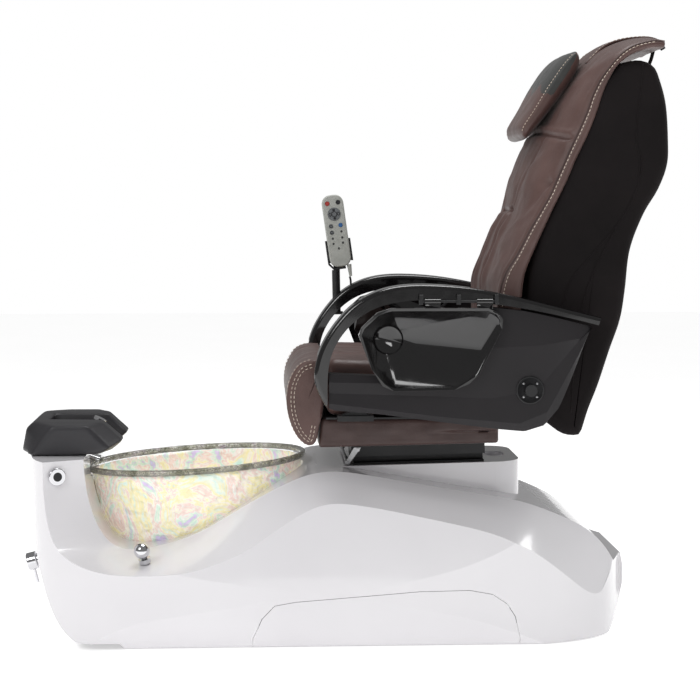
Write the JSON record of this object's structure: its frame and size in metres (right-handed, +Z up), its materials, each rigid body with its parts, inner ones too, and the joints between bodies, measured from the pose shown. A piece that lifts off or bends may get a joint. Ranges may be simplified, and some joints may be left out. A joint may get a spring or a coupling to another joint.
{
  "type": "pedicure spa chair",
  "caption": "Pedicure spa chair: glass foot bowl in a moulded base, sliding and reclining massage seat, lifting arms, flip-up trays and a handset",
  "frame": {"origin": "middle of the chair's footprint, on the floor", "axes": "+X to the back of the chair (the sitter faces -X), +Y to the sitter's right, +Z up"},
  "size_m": [1.4699, 0.748, 1.346],
  "materials": {
    "gel_coat": "gloss white moulded fibreglass",
    "bowl_glass": "iridescent hammered glass",
    "chrome": "polished",
    "black_gloss": "piano black",
    "charcoal_panel": "satin moulded charcoal",
    "leather": "brown upholstery leather",
    "back_fabric": "black stretch knit",
    "frame_steel": "black powder coat",
    "bright_steel": "zinc plated",
    "rubber": "matte",
    "footrest_pu": "satin moulded polyurethane",
    "black_plastic": "moulded",
    "grey_pvc": "pipe",
    "handset_grey": "satin silver grey",
    "key_red": "soft key",
    "key_dark": "soft key",
    "key_grey": "soft key",
    "key_blue": "soft key"
  },
  "bodies": {
    "base": {"base_shell": "gel_coat", "access_panels": "gel_coat", "base_frame": "frame_steel", "levelling_feet": "bright_steel", "glass_bowl": "bowl_glass", "bowl_gasket": "rubber", "drain_fitting": "chrome", "drain_trap": "grey_pvc", "jet_housing": "black_plastic", "jet_motor": "black_plastic", "footrest_bracket": "bright_steel", "footrest_pad": "footrest_pu", "shower_socket": "chrome", "spout": "chrome", "mixer_body": "chrome", "air_switch_bezel": "chrome", "drain_knob_base": "chrome", "water_pipes": "bright_steel", "slide_rails": "frame_steel"},
    "jet_rotor": {"jet_impeller": "black_plastic"},
    "hand_shower": {"hand_shower": "chrome"},
    "mixer_lever": {"mixer_handle": "chrome"},
    "air_button": {"air_switch_button": "black_plastic"},
    "drain_knob": {"drain_knob": "chrome"},
    "seat": {"slide_carriage": "frame_steel", "seat_frame": "frame_steel", "seat_cushion": "leather", "seat_front_roll": "leather", "seat_skirt": "leather", "arm_stops": "rubber", "control_box": "black_plastic", "recline_motor": "frame_steel", "pivot_bolts": "bright_steel"},
    "release_lever": {"slide_lever": "bright_steel"},
    "back": {"back_frame": "frame_steel", "back_cover": "back_fabric", "back_cushion": "leather", "pillow_flap": "leather"},
    "pillow": {"head_pillow": "leather"},
    "massage_screw": {"lead_screw": "bright_steel"},
    "massage_carriage": {"massage_carriage": "frame_steel"},
    "massage_heads": {"massage_heads": "black_plastic"},
    "arm_left": {"side_panel_left": "charcoal_panel", "armrest_left": "black_gloss", "tray_hinge_left": "bright_steel"},
    "tray_left": {"tray_left": "black_gloss"},
    "arm_right": {"side_panel_right": "charcoal_panel", "armrest_right": "black_gloss", "tray_hinge_right": "bright_steel", "remote_post": "bright_steel", "remote_cradle": "black_plastic", "remote_cord": "rubber"},
    "tray_right": {"tray_right": "black_gloss"},
    "remote": {"remote_housing": "handset_grey"},
    "key_power": {"remote_key_power": "key_red"},
    "key_stop": {"remote_key_stop": "key_dark"},
    "key_pad": {"remote_key_pad": "key_grey"},
    "key_mode": {"remote_key_mode": "key_grey"},
    "key_heat": {"remote_key_heat": "key_blue"},
    "key_zone": {"remote_key_zone": "key_grey"}
  },
  "joints": [
    {"name": "jet_spin", "type": "hinge", "parent": "base", "child": "jet_rotor", "pos_m": [-0.592, 0, 0.29], "axis": [1, 0, 0], "continuous": true},
    {"name": "shower_lift", "type": "slide", "parent": "base", "child": "hand_shower", "axis": [0.4472, 0, 0.8944], "range_m": [0, 0.08]},
    {"name": "mixer_turn", "type": "hinge", "parent": "base", "child": "mixer_lever", "pos_m": [-0.672, 0, 0.137], "axis": [-0.9703, 0, -0.2419], "range_deg": [-45, 45]},
    {"name": "air_switch_press", "type": "slide", "parent": "base", "child": "air_button", "axis": [-0.4679, 0.8838, 0], "range_m": [0, 0.004], "stiffness_N_per_m": 600},
    {"name": "drain_turn", "type": "hinge", "parent": "base", "child": "drain_knob", "pos_m": [-0.425, -0.308, 0.18], "axis": [-0.2489, -0.2489, 0.936], "range_deg": [0, 90]},
    {"name": "seat_slide", "type": "slide", "parent": "base", "child": "seat", "axis": [0.9997, 0, 0.0227], "range_m": [-0.06, 0]},
    {"name": "release_lift", "type": "hinge", "parent": "seat", "child": "release_lever", "pos_m": [0.04717, 0, 0.40308], "axis": [0, 1, 0], "range_deg": [0, 12], "stiffness_Nm_per_rad": 0.5},
    {"name": "recline", "type": "hinge", "parent": "seat", "child": "back", "pos_m": [0.412, 0, 0.558], "axis": [0, 1, 0], "range_deg": [0, 32]},
    {"name": "pillow_slide", "type": "slide", "parent": "back", "child": "pillow", "axis": [0.4352, 0, 0.9003], "range_m": [-0.05, 0]},
    {"name": "massage_travel", "type": "slide", "parent": "back", "child": "massage_carriage", "axis": [0.2924, 0, 0.9563], "range_m": [-0.1, 0.1]},
    {"name": "screw_turn", "type": "hinge", "parent": "back", "child": "massage_screw", "pos_m": [0.55152, 0, 0.86042], "axis": [0.2924, 0, 0.9563], "range_deg": [-1805, 1805]},
    {"name": "heads_rock", "type": "hinge", "parent": "massage_carriage", "child": "massage_heads", "pos_m": [0.55802, 0, 1.00483], "axis": [0, 1, 0], "range_deg": [-15, 15]},
    {"name": "arm_left_lift", "type": "hinge", "parent": "seat", "child": "arm_left", "pos_m": [0.412, -0.3, 0.558], "axis": [0, 1, 0], "range_deg": [0, 70]},
    {"name": "tray_left_flip", "type": "hinge", "parent": "arm_left", "child": "tray_left", "pos_m": [0.25, -0.342, 0.752], "axis": [-1, 0, 0], "range_deg": [0, 90]},
    {"name": "arm_right_lift", "type": "hinge", "parent": "seat", "child": "arm_right", "pos_m": [0.412, 0.3, 0.558], "axis": [0, 1, 0], "range_deg": [0, 70]},
    {"name": "tray_right_flip", "type": "hinge", "parent": "arm_right", "child": "tray_right", "pos_m": [0.25, 0.342, 0.752], "axis": [1, 0, 0], "range_deg": [0, 90]},
    {"name": "remote_lift", "type": "slide", "parent": "arm_right", "child": "remote", "axis": [-0.1392, 0, 0.9903], "range_m": [0, 0.06]},
    {"name": "power_press", "type": "slide", "parent": "remote", "child": "key_power", "axis": [0, 1, 0], "range_m": [0, 0.001], "stiffness_N_per_m": 250},
    {"name": "stop_press", "type": "slide", "parent": "remote", "child": "key_stop", "axis": [0, 1, 0], "range_m": [0, 0.001], "stiffness_N_per_m": 250},
    {"name": "pad_press", "type": "slide", "parent": "remote", "child": "key_pad", "axis": [0, 1, 0], "range_m": [0, 0.001], "stiffness_N_per_m": 250},
    {"name": "mode_press", "type": "slide", "parent": "remote", "child": "key_mode", "axis": [0, 1, 0], "range_m": [0, 0.001], "stiffness_N_per_m": 250},
    {"name": "heat_press", "type": "slide", "parent": "remote", "child": "key_heat", "axis": [0, 1, 0], "range_m": [0, 0.001], "stiffness_N_per_m": 250},
    {"name": "zone_press", "type": "slide", "parent": "remote", "child": "key_zone", "axis": [0, 1, 0], "range_m": [0, 0.001], "stiffness_N_per_m": 250}
  ],
  "couplings": [
    {"joint": "screw_turn", "follows": "massage_travel", "rad_per_m": 314.16}
  ]
}
